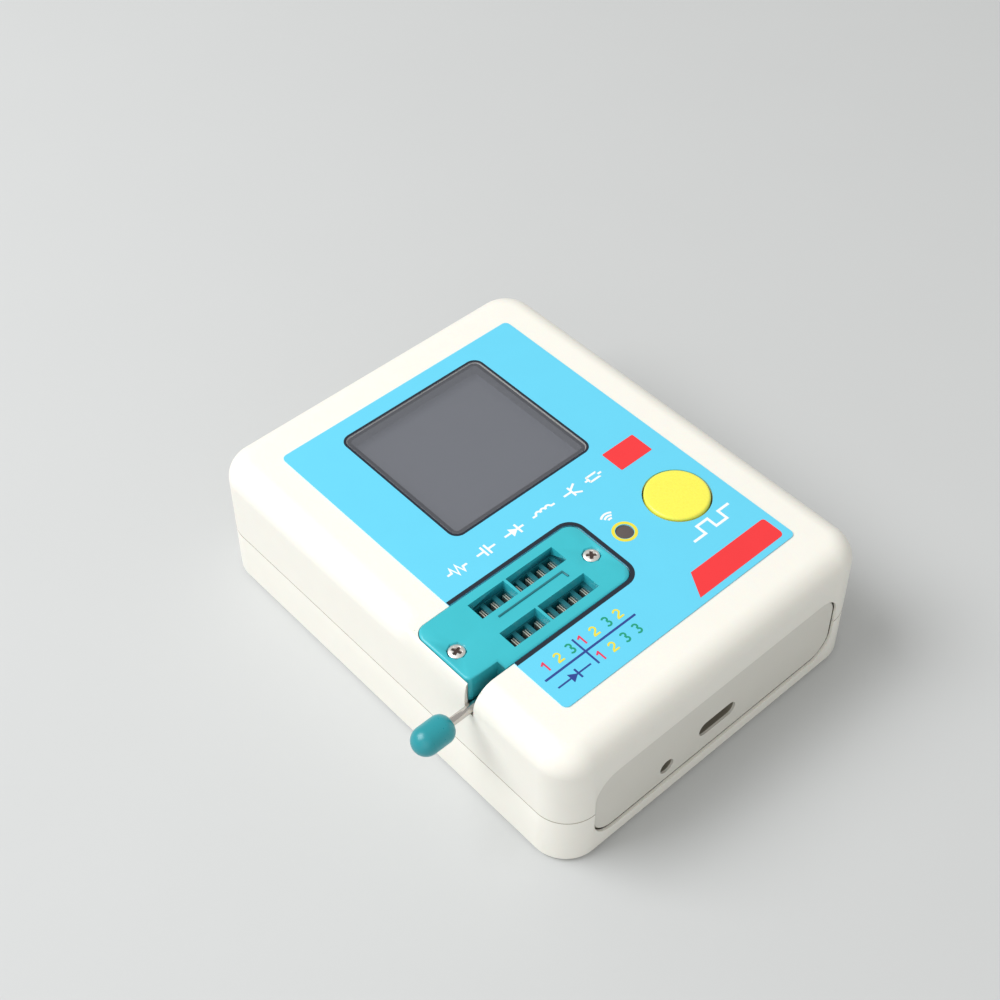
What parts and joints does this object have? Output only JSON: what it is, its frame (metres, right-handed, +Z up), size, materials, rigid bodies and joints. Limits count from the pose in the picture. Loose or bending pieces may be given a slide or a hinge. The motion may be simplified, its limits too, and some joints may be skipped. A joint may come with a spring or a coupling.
{
  "type": "component tester",
  "caption": "Handheld electronic component tester: white moulded case with a printed face, grey display window, lever-operated zero-insertion-force test socket, start button and charging inlet.",
  "frame": {"origin": "middle of the case's underside", "axes": "+X to the right of the face as it is read, +Y along the case to the display end, +Z up out of the face; the lever sticks out on -X and the charging inlet is in the -Y end"},
  "size_m": [0.0816, 0.09, 0.0277],
  "materials": {
    "white_shell": "satin moulded plastic",
    "label_film": "satin printed film",
    "window_film": "clear film",
    "black_plastic": "matte",
    "display_panel": "glossy, unlit",
    "white_frame": "matte",
    "circuit_board": "solder mask",
    "steel": "bright",
    "tinned_contact": "tinned",
    "turquoise_plastic": "satin moulded plastic",
    "yellow_plastic": "smooth",
    "clear_lens": "clear epoxy",
    "cell_foil": "foil pouch",
    "foam_tape": "foam",
    "red_sleeve": "matte",
    "black_sleeve": "matte"
  },
  "bodies": {
    "case": {"top_shell": "white_shell", "bottom_shell": "white_shell", "front_end_panel": "white_shell", "rear_end_panel": "white_shell", "case_screws": "steel", "face_label": "label_film", "display_window": "window_film", "display_bezel": "black_plastic", "display_glass": "display_panel", "display_frame": "white_frame", "display_board": "circuit_board", "display_header": "black_plastic", "main_board": "circuit_board", "board_screws": "steel", "main_chip": "black_plastic", "charge_chip": "black_plastic", "crystal": "steel", "board_resistors": "black_plastic", "switch_body": "black_plastic", "switch_plate": "steel", "infrared_receiver": "black_plastic", "zif_base": "turquoise_plastic", "zif_cover": "turquoise_plastic", "zif_contacts": "tinned_contact", "zif_screws": "steel", "usb_shell": "steel", "usb_tongue": "black_plastic", "charge_led": "clear_lens", "battery_cell": "cell_foil", "battery_tape": "foam_tape", "battery_lead_red": "red_sleeve", "battery_lead_black": "black_sleeve"},
    "start_button": {"button_cap": "yellow_plastic", "switch_plunger": "black_plastic"},
    "lever": {"zif_lever": "steel", "lever_knob": "turquoise_plastic"},
    "slider": {"zif_slider": "turquoise_plastic"}
  },
  "joints": [
    {"name": "start_button_press", "type": "slide", "parent": "case", "child": "start_button", "axis": [0, 0, -1], "range_m": [0, 0.00035], "stiffness_N_per_m": 4000},
    {"name": "lever_swing", "type": "hinge", "parent": "case", "child": "lever", "pos_m": [-0.02915, -0.0162, 0.022], "axis": [0, 1, 0], "range_deg": [0, 90]},
    {"name": "slider_shift", "type": "slide", "parent": "case", "child": "slider", "axis": [1, 0, 0], "range_m": [0, 0.0007]}
  ],
  "couplings": [
    {"joint": "lever_swing", "follows": "slider_shift", "rad_per_m": 2243.9}
  ]
}
